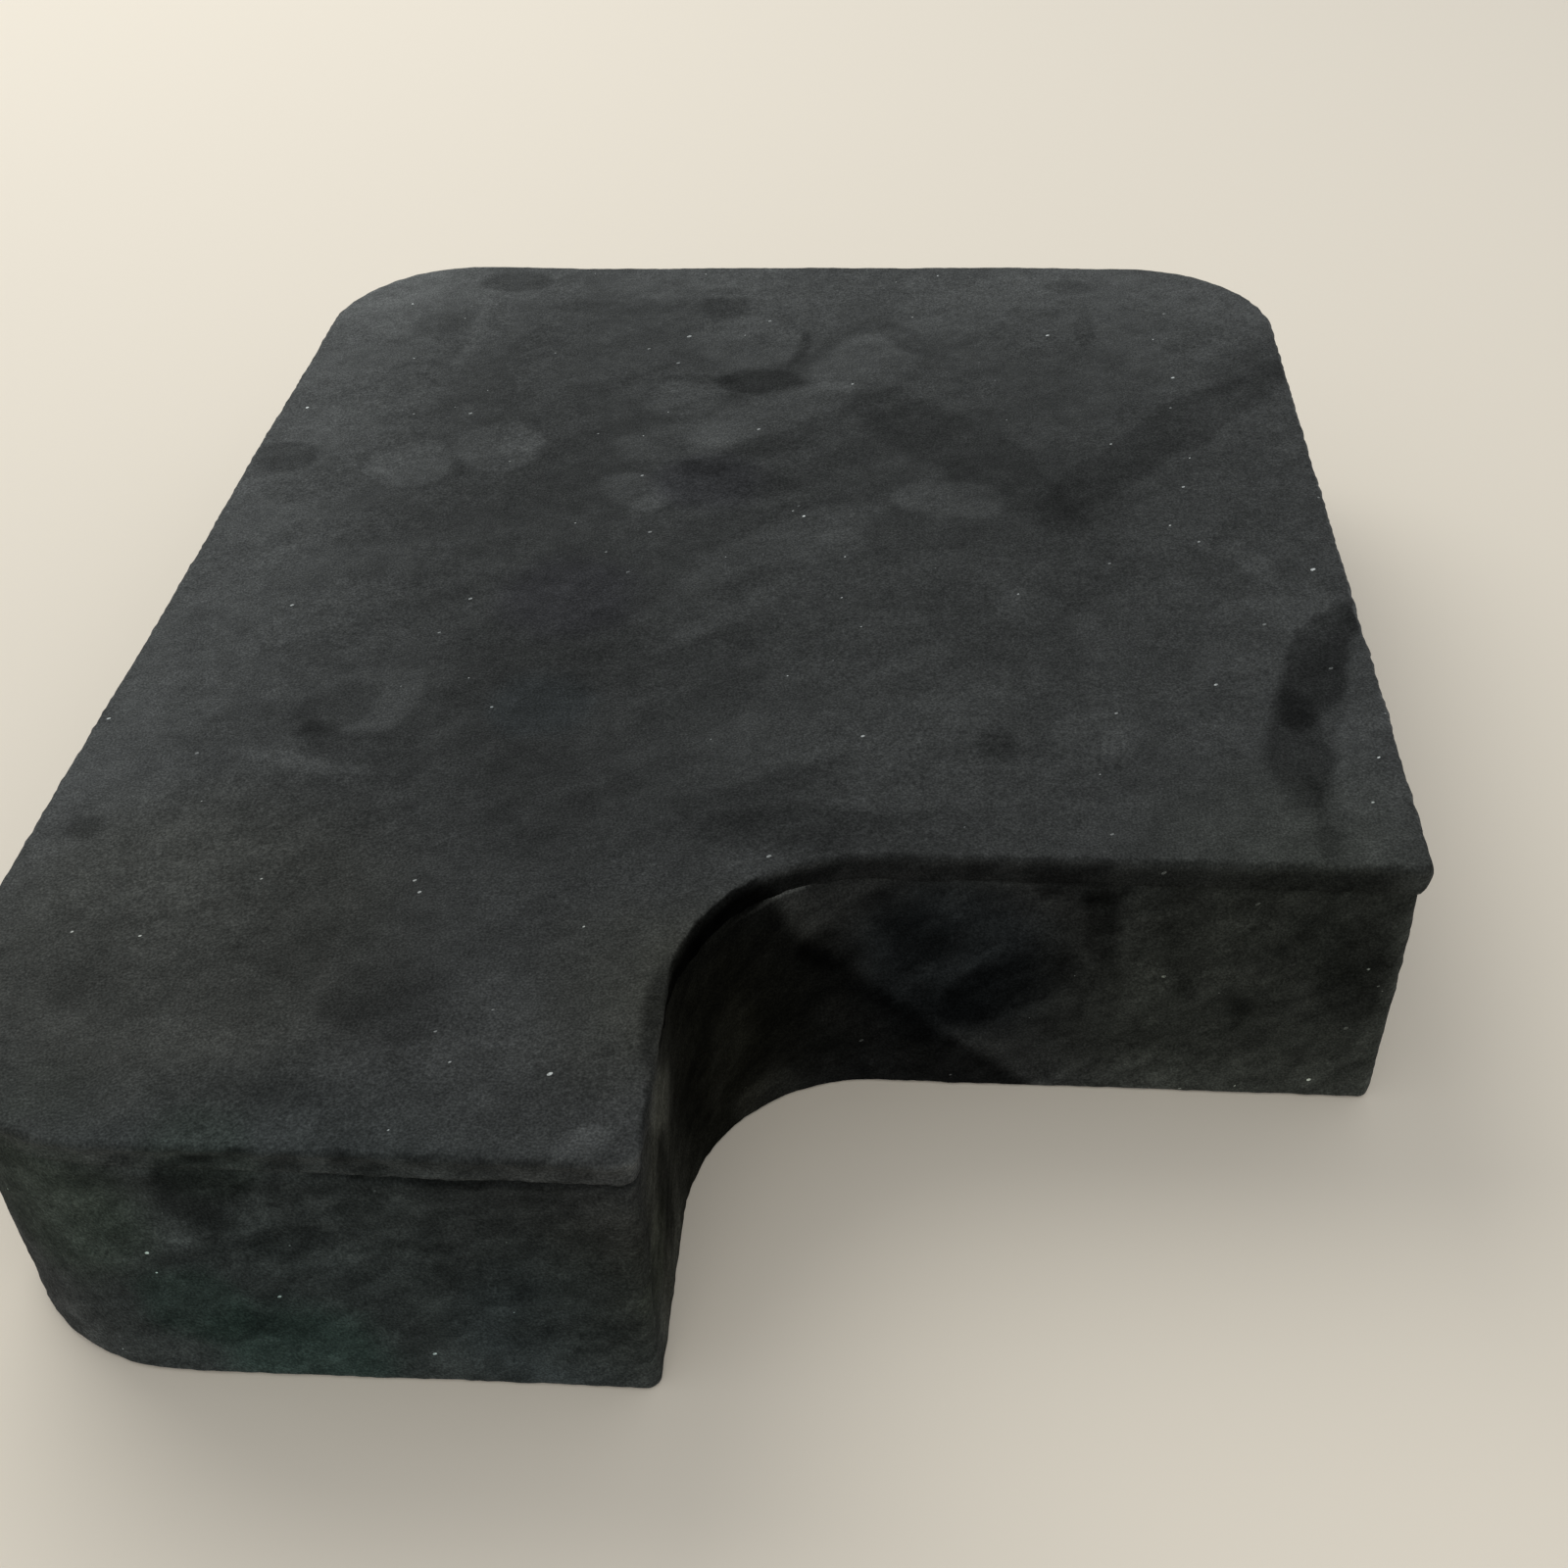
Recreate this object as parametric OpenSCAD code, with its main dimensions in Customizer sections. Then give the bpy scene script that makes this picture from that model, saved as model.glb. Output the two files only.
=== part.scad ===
// Foam block covered in black velvet, with one corner cut away, in millimetres, +Z up.
// The origin is the middle of the block's overall footprint, on its underside.
// The notch takes the corner at +X -Y and leaves an arm on its -X side.
//
// A cut foam core is wrapped in three pieces of cloth. One strip goes round the sides, and
// its lower margin is turned under the foam. A second piece lies inside that margin, on the
// underside. The third covers the top, and its border is turned down over the strip, so it
// stands one thickness of cloth proud of the sides as a lip.

/* [Body] */
// Width across the side cloth, from -X to +X
body_w = 210; // [190:1:300]
// Depth across the side cloth, from front to rear
body_d = 270; // [220:1:400]
// Height over the cloth of the top and of the underside
body_h = 51; // [30:1:100]
// Radius of the three rounded corners in plan, at the side cloth
corner_r = 30; // [10:1:50]

/* [Notch] */
// Width of the arm beside the notch, across the side cloth
arm_w = 101; // [70:1:140]
// Depth of the notch, from the arm's front face to the notch's rear face
notch_d = 60; // [50:1:100]
// Radius of the notch's rounded inner corner in plan, at the side cloth
cove_r = 29; // [10:1:40]
// Radius of the foam's two vertical edges at the notch's ends
foam_edge_r = 1; // [0.5:0.5:4]

/* [Cloth] */
// Thickness of the cloth
cloth_t = 1; // [0.6:0.1:2]
// Height of the lip, from the top down to the hem of the top cloth
lip_h = 5; // [4:0.5:12]
// Width of the side cloth's margin under the foam
margin_w = 12; // [6:1:20]
// Gap between that margin and the cloth of the underside
base_gap = 0.5; // [0.2:0.1:2]
// Gap between the two ends of the side cloth, in the middle of the rear face
seam_gap = 0.4; // [0.2:0.1:1]

/* [Hidden] */
$fn = 96;

// Cloth and foam colours
VELVET = [0.20, 0.205, 0.20];
VELVET_SIDE = [0.14, 0.15, 0.145];
FOAM = [0.30, 0.30, 0.31];

// Faces of the side cloth
left_x = -body_w / 2;
right_x = body_w / 2;
front_y = -body_d / 2;
rear_y = body_d / 2;
arm_x = left_x + arm_w;
notch_y = front_y + notch_d;

// The cloth bends round the foam's square edges, so each layer adds its thickness
edge_r = foam_edge_r + cloth_t;
foam_top_z = body_h - cloth_t;
wrap_z = foam_top_z - cloth_t;
hem_z = body_h - lip_h;
margin_in = cloth_t + margin_w;

// Corners that stand out: centre, radius and the angle at which the arc starts
CORNERS = [
    [left_x + corner_r, front_y + corner_r, corner_r, 180],
    [arm_x - edge_r, front_y + edge_r, edge_r, 270],
    [right_x - edge_r, notch_y + edge_r, edge_r, 270],
    [right_x - corner_r, rear_y - corner_r, corner_r, 0],
    [left_x + corner_r, rear_y - corner_r, corner_r, 90]
];

// Straight runs between corners: start, direction that points into the foam, and length.
// Each one runs anticlockwise round the block, seen from above.
RUNS = [
    [left_x, rear_y - corner_r, 0, body_d - 2 * corner_r],
    [left_x + corner_r, front_y, 90, arm_w - corner_r - edge_r],
    [arm_x, front_y + edge_r, 180, notch_d - edge_r - cove_r],
    [arm_x + cove_r, notch_y, 90, right_x - arm_x - cove_r - edge_r],
    [right_x, notch_y + edge_r, 180, rear_y - notch_y - edge_r - corner_r],
    [right_x - corner_r, rear_y, 270, body_w - 2 * corner_r]
];

// Waste outside a rounded corner, with the corner's point at the origin, inside +X +Y
module corner_waste(r) {
    if (r > 0)
        difference() {
            square(r);
            translate([r, r]) circle(r);
        }
}

// Plan of the block, moved in by d from the side cloth's outer face
module outline(d) {
    difference() {
        translate([left_x + d, front_y + d])
            square([body_w - 2 * d, body_d - 2 * d]);
        notch_plan(d);
        for (c = CORNERS)
            translate([c[0], c[1]])
                rotate(c[3] + 180)
                    translate([d - c[2], d - c[2]])
                        corner_waste(c[2] - d);
    }
}

// Plan of the notch, which grows by d as the outline moves in, with its rounded corner
module notch_plan(d) {
    over = cloth_t;
    difference() {
        translate([arm_x - d, front_y - over])
            square([right_x - arm_x + d + over, notch_d + d + over]);
        translate([arm_x - d, notch_y + d])
            mirror([0, 1])
                corner_waste(cove_r + d);
    }
}

// Sweeps a section round the block: +X of the section points into the foam, from the side
// cloth's outer face, and +Y of the section points up
module sweep() {
    for (r = RUNS)
        translate([r[0], r[1], 0])
            rotate([90, 0, r[2]])
                linear_extrude(r[3]) children();
    for (c = CORNERS)
        translate([c[0], c[1], 0])
            rotate([0, 0, c[3]])
                rotate_extrude(angle = 90)
                    translate([c[2], 0]) mirror([1, 0]) children();
    translate([arm_x + cove_r, notch_y - cove_r, 0])
        rotate([0, 0, 90])
            rotate_extrude(angle = 90)
                translate([cove_r, 0]) children();
}

// Wall or plate of one height between two plans
module ring(z0, z1, outer, inner) {
    translate([0, 0, z0])
        linear_extrude(z1 - z0)
            difference() {
                outline(outer);
                outline(inner);
            }
}

module plate(z0, z1, d) {
    translate([0, 0, z0]) linear_extrude(z1 - z0) outline(d);
}

// Upper quarter of a bend of cloth, from the outer radius r_out in to r_in
module upper_bend(r_out, r_in) {
    intersection() {
        difference() {
            circle(r_out);
            if (r_in > 0) circle(r_in);
        }
        translate([-r_out, 0]) square(r_out);
    }
}

// Foam block with square-cut top and bottom edges
module foam_core() {
    color(FOAM) plate(cloth_t, foam_top_z, cloth_t);
}

// Section of the side strip: one cloth thick, with its outer corners bent inwards
module strip_section() {
    translate([0, cloth_t]) square([cloth_t, wrap_z - cloth_t]);
    translate([cloth_t, wrap_z]) upper_bend(cloth_t, 0);
    translate([cloth_t, cloth_t]) mirror([0, 1]) upper_bend(cloth_t, 0);
}

// Side strip: its top edge is pressed thin under the top cloth, its margin lies under the foam
module side_band() {
    color(VELVET_SIDE)
        difference() {
            union() {
                sweep() strip_section();
                ring(0, cloth_t, cloth_t, margin_in);
            }
            translate([-seam_gap / 2, rear_y - margin_in - cloth_t, -cloth_t])
                cube([seam_gap, margin_in + 2 * cloth_t, body_h + 2 * cloth_t]);
        }
}

// Section of the top cloth's edge: border, bend and the start of the flat top
module edge_section() {
    translate([-cloth_t, hem_z]) square([cloth_t, wrap_z - hem_z]);
    translate([cloth_t, wrap_z]) upper_bend(2 * cloth_t, cloth_t);
}

// Top cloth: flat over the foam, bent over its edge and down the sides to the hem
module top_cover() {
    color(VELVET) {
        plate(foam_top_z, body_h, cloth_t);
        sweep() edge_section();
    }
}

// Cloth of the underside, inside the turned margin of the side strip
module base_sheet() {
    color(VELVET_SIDE) plate(0, cloth_t, margin_in + base_gap);
}

foam_core();
side_band();
top_cover();
base_sheet();
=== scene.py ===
"""Looks of a foam block covered in black velvet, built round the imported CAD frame.

Lengths are in metres. Lists of marks and sizes that read better in millimetres say so and are
multiplied by MM. Plan positions are x (across) and y (front to rear) from the middle of the
block's footprint, as in the frame; s is the distance round the outline, anticlockwise from the
middle of the rear face.
"""
import math

import bpy
import numpy as np
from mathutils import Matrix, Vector
from mathutils.geometry import delaunay_2d_cdt


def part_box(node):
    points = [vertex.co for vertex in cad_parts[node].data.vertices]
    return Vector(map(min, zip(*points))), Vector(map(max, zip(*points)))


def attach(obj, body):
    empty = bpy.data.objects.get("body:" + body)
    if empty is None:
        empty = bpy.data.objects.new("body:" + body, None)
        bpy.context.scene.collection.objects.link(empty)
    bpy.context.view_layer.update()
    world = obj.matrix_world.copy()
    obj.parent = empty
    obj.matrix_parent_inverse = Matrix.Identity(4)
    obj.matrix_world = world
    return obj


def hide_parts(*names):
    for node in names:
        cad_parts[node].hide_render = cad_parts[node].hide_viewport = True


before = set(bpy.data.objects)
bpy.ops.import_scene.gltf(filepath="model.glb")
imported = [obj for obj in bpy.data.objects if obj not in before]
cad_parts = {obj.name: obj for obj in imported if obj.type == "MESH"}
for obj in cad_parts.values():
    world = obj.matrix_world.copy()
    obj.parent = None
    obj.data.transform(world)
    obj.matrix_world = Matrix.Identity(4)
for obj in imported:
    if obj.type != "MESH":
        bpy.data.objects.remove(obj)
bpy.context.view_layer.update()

MM = 0.001

# ---------------------------------------------------------------- sizes, from the frame
cover_low, cover_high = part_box("top_cover")
band_low, band_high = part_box("side_band")
base_low, base_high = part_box("base_sheet")
core_low, core_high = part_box("foam_core")

CLOTH = band_low.x - cover_low.x
HEM_Z = cover_low.z
TOP_Z = cover_high.z
WRAP_Z = band_high.z - CLOTH
BASE_INSET = base_low.x - band_low.x
BASE_GAP = 0.5 * MM
MARGIN_INSET = BASE_INSET - BASE_GAP
SEAM_GAP = 0.4 * MM

# Plan of the side cloth's outer face
LEFT, RIGHT = band_low.x, band_high.x
FRONT, REAR = band_low.y, band_high.y
ARM_X = LEFT + 101 * MM
NOTCH_Y = FRONT + 60 * MM
CORNER_R = 30 * MM
COVE_R = 29 * MM
# Radius of the two upright edges at the notch's ends
END_R = 2 * MM
# Radius of the fold where the top cloth turns down
EDGE_R = 1.1 * MM

# ---------------------------------------------------------------- noise
# The noise repeats after this many cells along each axis
LATTICE = 32
# Brings the noise to a range of about -1 to 1
NOISE_GAIN = 1.7


def noise(points, size, seed):
    """Smooth gradient noise from about -1 to 1, whose features are about size across."""
    rng = np.random.default_rng(seed)
    slopes = rng.normal(size=(LATTICE, LATTICE, LATTICE, 3))
    slopes /= np.linalg.norm(slopes, axis=3, keepdims=True)
    place = np.asarray(points) / size + rng.uniform(0, LATTICE, 3)
    cell = np.floor(place).astype(int)
    inside = place - cell
    fade = inside**3 * (inside * (inside * 6 - 15) + 10)
    total = np.zeros(len(place))
    for step in np.ndindex(2, 2, 2):
        corner = (cell + step) % LATTICE
        slope = slopes[corner[:, 0], corner[:, 1], corner[:, 2]]
        height = ((inside - step) * slope).sum(1)
        total += height * np.where(step, fade, 1 - fade).prod(1)
    return total * NOISE_GAIN


def rough_noise(points, size, seed, layers=3):
    """Noise with finer, fainter layers added."""
    total = np.zeros(len(points))
    for layer in range(layers):
        total += noise(points, size / 2**layer, seed + layer) / 2**layer
    return total


def ring_noise(s, size, seed):
    """Noise that depends only on the distance round the block."""
    return noise(np.column_stack([s, 0 * s, 0 * s]), size, seed)


def smoothstep(low, high, value):
    """0 up to low and 1 from high on, easing in between; low may be the larger one."""
    t = np.clip((value - low) / (high - low), 0, 1)
    return t * t * (3 - 2 * t)


# ---------------------------------------------------------------- outline of the block
def outline(inset, spacing, gap=0.0):
    """Points round the block's plan, moved in by inset, and their inward directions.

    They start in the middle of the rear face, with half of gap left out on each side of it."""
    left, right = LEFT + inset, RIGHT - inset
    front, rear = FRONT + inset, REAR - inset
    arm, notch = ARM_X - inset, NOTCH_Y + inset
    big, end, cove = CORNER_R - inset, max(END_R - inset, 0.5 * MM), COVE_R + inset
    points, inward = [], []

    def run(start, stop, direction):
        """Adds a straight stretch, without its last point."""
        length = math.dist(start, stop)
        count = max(1, round(length / spacing))
        for i in range(count):
            t = i / count
            points.append([a + (b - a) * t for a, b in zip(start, stop)])
            inward.append(direction)

    def arc(centre, radius, start, turn):
        """Adds a rounded corner, without its last point."""
        count = max(6, round(abs(turn) * radius / spacing))
        for i in range(count):
            angle = start + turn * i / count
            way = (math.cos(angle), math.sin(angle))
            points.append([centre[0] + radius * way[0], centre[1] + radius * way[1]])
            side = -1 if turn > 0 else 1
            inward.append((side * way[0], side * way[1]))

    quarter = math.pi / 2
    run((-gap / 2, rear), (left + big, rear), (0, -1))
    arc((left + big, rear - big), big, quarter, quarter)
    run((left, rear - big), (left, front + big), (1, 0))
    arc((left + big, front + big), big, 2 * quarter, quarter)
    run((left + big, front), (arm - end, front), (0, 1))
    arc((arm - end, front + end), end, 3 * quarter, quarter)
    run((arm, front + end), (arm, notch - cove), (-1, 0))
    arc((arm + cove, notch - cove), cove, 2 * quarter, -quarter)
    run((arm + cove, notch), (right - end, notch), (0, 1))
    arc((right - end, notch + end), end, 3 * quarter, quarter)
    run((right, notch + end), (right, rear - big), (-1, 0))
    arc((right - big, rear - big), big, 0, quarter)
    run((right - big, rear), (gap / 2, rear), (0, -1))
    if gap > 0:
        points.append([gap / 2, rear])
        inward.append((0, -1))
    return np.array(points), np.array(inward, float)


def distance_round(points):
    """Distance of each point along the outline, from the first one."""
    steps = np.linalg.norm(np.diff(points, axis=0), axis=1)
    return np.concatenate([[0.0], np.cumsum(steps)])


GUIDE, _ = outline(0, 1 * MM)
GUIDE_S = distance_round(GUIDE)


def s_at(x, y):
    """Distance round the outline of the place nearest to x, y."""
    return GUIDE_S[np.argmin(np.hypot(GUIDE[:, 0] - x, GUIDE[:, 1] - y))]


def between(s, start, stop, ease):
    """1 for s from start to stop, easing to 0 outside them."""
    return smoothstep(start - ease, start, s) * (1 - smoothstep(stop, stop + ease, s))


# Distances round the outline of the arm's corner, of the cove's two ends and of the notch's end
ARM_CORNER = s_at(ARM_X, FRONT)
COVE_START = s_at(ARM_X, NOTCH_Y - COVE_R)
COVE_STOP = s_at(ARM_X + COVE_R, NOTCH_Y)
NOTCH_END = s_at(RIGHT, NOTCH_Y)
# Distances round the outline of the middles of the three rounded corners
LEFT_FRONT = s_at(LEFT, FRONT)
LEFT_REAR = s_at(LEFT, REAR)
RIGHT_REAR = s_at(RIGHT, REAR)


# ---------------------------------------------------------------- mesh builder
class Shell:
    """Vertices and faces of one closed piece, with what its shading needs at each vertex."""

    def __init__(self):
        self.points, self.out, self.s, self.rim, self.skin = [], [], [], [], []
        self.faces = []
        self.count = 0

    def add(self, points, out, s, rim, skin):
        """Adds vertices and returns their numbers.

        rim is 1 on the sides of the block and 0 on its flat faces. skin is 1 on the face of
        the cloth that shows and 0 on the one that is glued down."""
        first = self.count
        self.count += len(points)
        self.points.append(np.asarray(points, float))
        self.out.append(np.asarray(out, float))
        for store, value in ((self.s, s), (self.rim, rim), (self.skin, skin)):
            store.append(np.broadcast_to(np.asarray(value, float), len(points)))
        return np.arange(first, self.count)

    def sweep(self, section, base, inward, s, closed):
        """Sweeps a section, rows of (depth, z, rise, skin), along the outline.

        depth is measured inward from the side cloth's face. rise is 1 where the cloth faces
        up, -1 where it faces down and 0 where it faces out."""
        rows = []
        for depth, z, rise, skin in section:
            points = np.column_stack([base + inward * depth, np.full(len(base), z)])
            up = math.sin(rise * math.pi / 2)
            level = math.cos(rise * math.pi / 2)
            out = np.column_stack([-inward * level, np.full(len(base), up)])
            rows.append(self.add(points, out, s, 1 - abs(rise), skin))
        for low, high in zip(rows, rows[1:]):
            quads = np.column_stack([low, np.roll(low, -1), np.roll(high, -1), high])
            self.faces.extend((quads if closed else quads[:-1]).tolist())
        return rows

    def fill(self, loop, spacing, z, up, skin=1):
        """Fills a flat loop of vertices with triangles about spacing across."""
        loop = [int(v) for v in loop]
        plan = np.concatenate(self.points)[loop][:, :2]
        extra = inner_points(plan, spacing)
        facing = 1.0 if up else -1.0
        flat = np.column_stack([extra, np.full(len(extra), z)])
        added = self.add(flat, np.tile([0, 0, facing], (len(extra), 1)), 0, 0, skin)
        ids = loop + [int(v) for v in added]
        flat = np.concatenate([plan, extra])
        places = [Vector(p) for p in flat / MM]
        found = delaunay_2d_cdt(places, [], [list(range(len(loop)))], 1, 1e-6, True)
        corners = np.array([[found[3][v][0] for v in triangle] for triangle in found[2]])
        a, b, c = (flat[corners[:, i]] for i in range(3))
        keep = inside(np.mean([a, b, c], axis=0), plan)
        turn = (b - a)[:, 0] * (c - a)[:, 1] - (b - a)[:, 1] * (c - a)[:, 0]
        corners[(turn > 0) != up] = corners[(turn > 0) != up][:, ::-1]
        self.faces.extend([ids[v] for v in triangle] for triangle in corners[keep])

    def arrays(self):
        """The vertices, then their outward directions, s, rim and skin."""
        stores = (self.points, self.out, self.s, self.rim, self.skin)
        return tuple(np.concatenate(store) for store in stores)


def inside(points, loop):
    """Whether each point lies inside a loop."""
    ends = np.roll(loop, -1, axis=0)
    rise = np.where(ends[:, 1] == loop[:, 1], 1, ends[:, 1] - loop[:, 1])
    found = []
    for part in np.array_split(points, len(points) // 4000 + 1):
        x, y = part[:, :1], part[:, 1:]
        crosses = (loop[:, 1] > y) != (ends[:, 1] > y)
        at = loop[:, 0] + (y - loop[:, 1]) * (ends[:, 0] - loop[:, 0]) / rise
        found.append((crosses & (x < at)).sum(1) % 2 == 1)
    return np.concatenate(found)


def inner_points(loop, spacing):
    """A staggered grid of points inside a loop, clear of the points on its edge."""
    low, high = loop.min(0), loop.max(0)
    grid = []
    for i, y in enumerate(np.arange(low[1], high[1], spacing * math.sqrt(3) / 2)):
        xs = np.arange(low[0] + (i % 2) * spacing / 2, high[0], spacing)
        grid.append(np.column_stack([xs, np.full(len(xs), y)]))
    grid = np.concatenate(grid)
    grid = grid[inside(grid, loop)]
    apart = [
        np.hypot(*(part[:, None] - loop[None]).transpose(2, 0, 1)).min(1)
        for part in np.array_split(grid, len(grid) // 4000 + 1)
    ]
    return grid[np.concatenate(apart) > spacing * 0.6]


def make_piece(name, points, faces, material, shade):
    """A smooth mesh object that carries its pile's shade, with painted light and shade, and its
    colour cast.
    """
    mesh = bpy.data.meshes.new(name)
    mesh.from_pydata(points.tolist(), [], faces)
    mesh.polygons.foreach_set("use_smooth", np.ones(len(faces), bool))
    nap_and_light = mesh.attributes.new("nap_and_light", "FLOAT", "POINT")
    nap_and_light.data.foreach_set("value", shade.astype(np.float32))
    cast = mesh.attributes.new("cast", "FLOAT_COLOR", "POINT")
    cast.data.foreach_set("color", cast_at(points).astype(np.float32).ravel())
    mesh.materials.append(material)
    mesh.update()
    piece = bpy.data.objects.new(name, mesh)
    bpy.context.scene.collection.objects.link(piece)
    return piece


# ---------------------------------------------------------------- lie of the pile, painted light and painted shade
# Marks brushed into the top's pile, in millimetres: x, y, half length, half width, heading in
# degrees, how much lighter (+) or darker (-), and how soft the edge is
TOP_MARKS = [
    (-67, 127, 9, 6, 0, -0.5, 0.3),
    (-35, 114, 25, 4, 2, -0.25, 0.4),
    (-16, 113, 6, 5, 0, -0.4, 0.3),
    (-72, 100, 21, 1.5, 90, 0.22, 0.5),
    (-80, 103, 6, 7, 0, -0.4, 0.5),
    (-10, 96, 13, 12, -30, 0.3, 0.22),
    (2, 93, 9, 1.5, 80, -0.6, 0.5),
    (-6, 77, 10, 6, 0, -0.6, 0.2),
    (-17, 78, 9, 2, 5, -0.4, 0.4),
    (17, 87, 17, 10, 62, 0.3, 0.22),
    (25, 98, 9, 4, -58, -0.5, 0.3),
    (38, 108, 24, 5, 27, 0.25, 0.5),
    (65, 102, 2.5, 9, 0, -0.35, 0.4),
    (62, 124, 5, 4, 0, -0.35, 0.4),
    (-20, 69, 8, 9, 0, 0.3, 0.25),
    (-1, 63, 20, 8, 40, 0.34, 0.15),
    (-20, 50, 13, 8, 15, 0.42, 0.2),
    (-8, 43, 16, 3, 28, -0.3, 0.5),
    (-56, 47, 9, 10, 0, 0.6, 0.1),
    (-73, 39, 8, 10, -10, 0.42, 0.15),
    (-99, 41, 6, 7, 0, -0.55, 0.3),
    (-26, 30, 9, 6, -42, 0.45, 0.15),
    (-24, 24, 3, 5, -20, 0.4, 0.3),
    (-7, 35, 12, 6, -20, -0.35, 0.4),
    (-18, 36, 6, 2, -30, 0.3, 0.5),
    (36, 48, 35, 10, -52, -0.36, 0.25),
    (60, 26, 9, 12, 0, -0.35, 0.5),
    (35, 28, 11, 7, -10, 0.55, 0.2),
    (32, 38, 3, 4, 0, 0.4, 0.3),
    (4, 11, 22, 7, 40, 0.32, 0.25),
    (-1, 0, 8, 1.5, 38, -0.4, 0.5),
    (-3, -12, 13, 3, 43, 0.25, 0.5),
    (80, 56, 40, 7, 50, -0.4, 0.15),
    (100, 84, 14, 9, 60, -0.25, 0.3),
    (89, 8, 3, 8, 15, 0.3, 0.5),
    (97, -24, 20, 4.5, 72, -1.0, 0.2),
    (90, -48, 15, 4.5, 84, -0.8, 0.25),
    (91, -66, 12, 1.4, 94, -0.5, 0.4),
    (101, -52, 22, 6, 80, 0.3, 0.15),
    (-32, -28, 14, 32, 0, -0.3, 0.6),
    (-22, -66, 22, 14, 0, -0.2, 0.6),
    (-62, -40, 9, 10, -20, 0.42, 0.12),
    (-67, -43, 5, 8, -25, -0.42, 0.3),
    (-68, -50, 4, 3, -30, -0.4, 0.3),
    (-69, -57, 12, 2, -12, 0.5, 0.4),
    (-97, -75, 3, 3, 0, -0.6, 0.4),
    (14, -71, 17, 5, 4, -0.5, 0.5),
    (10, -62, 12, 6, 30, -0.25, 0.6),
    (22, -45, 20, 9, 18, 0.18, 0.6),
    (43, -48, 3, 4, 0, -0.5, 0.5),
    (58, -45, 6, 6, 0, 0.3, 0.5),
    (55, -25, 3, 12, 8, -0.2, 0.6),
    (48, -8, 5, 6, 0, 0.2, 0.5),
    (-5, -30, 22, 10, 60, -0.2, 0.6),
    (96, -8, 7, 9, 0, 0.4, 0.5),
    (40, -78, 16, 1.6, 0, 0.35, 0.5),
    (-42, -109, 9, 8, 0, -0.5, 0.5),
    (-58, -98, 8, 6, 20, -0.25, 0.5),
    (-50, -127, 8, 3, 0, -0.35, 0.5),
    (-28, -112, 8, 9, 0, 0.2, 0.6),
    (-11, -132, 4, 2, 10, 0.5, 0.4),
    (-80, -88, 8, 6, 20, 0.25, 0.5),
    (-84, -108, 5, 6, 0, -0.25, 0.5),
    (-4, -110, 9, 1.6, 90, -1.3, 0.5),
    (4, 110, 6, 9, 20, 0.25, 0.4),
    (45, 112, 8, 5, 20, -0.2, 0.5),
    (-66, -118, 7, 5, -20, 0.2, 0.5),
]
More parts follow.
